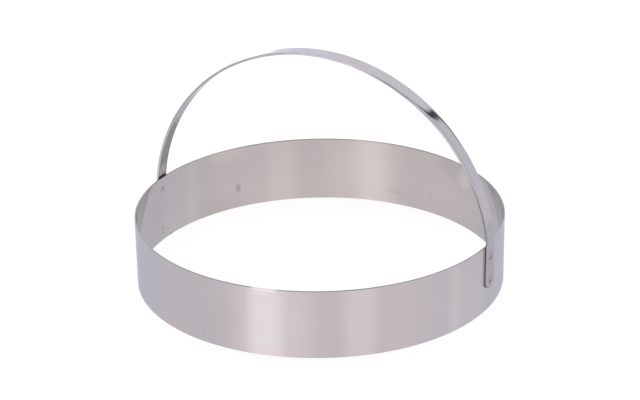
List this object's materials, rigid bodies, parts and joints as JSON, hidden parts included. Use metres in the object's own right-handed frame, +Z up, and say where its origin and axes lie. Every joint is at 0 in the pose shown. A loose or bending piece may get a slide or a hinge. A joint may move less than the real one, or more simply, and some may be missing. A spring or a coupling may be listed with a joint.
{
  "type": "round dough cutter",
  "caption": "Round steel dough cutter: a thin cutting band with a flat strap handle that arches over it, riveted to the outside of the band.",
  "frame": {"origin": "centre of the band's lower, cutting edge, on the table", "axes": "+X from the handle's left foot towards its right foot, +Y the side that the handle leans to, +Z up"},
  "size_m": [0.2442, 0.24, 0.152],
  "materials": {
    "band_steel": "satin rolled sheet",
    "strap_steel": "smooth, half polished strip",
    "rivet_steel": "dull, low domed heads"
  },
  "bodies": {
    "root": {"cutter_band": "band_steel", "handle_strap": "strap_steel", "right_upper_rivet": "rivet_steel", "right_lower_rivet": "rivet_steel", "left_upper_rivet": "rivet_steel", "left_lower_rivet": "rivet_steel"}
  },
  "joints": []
}
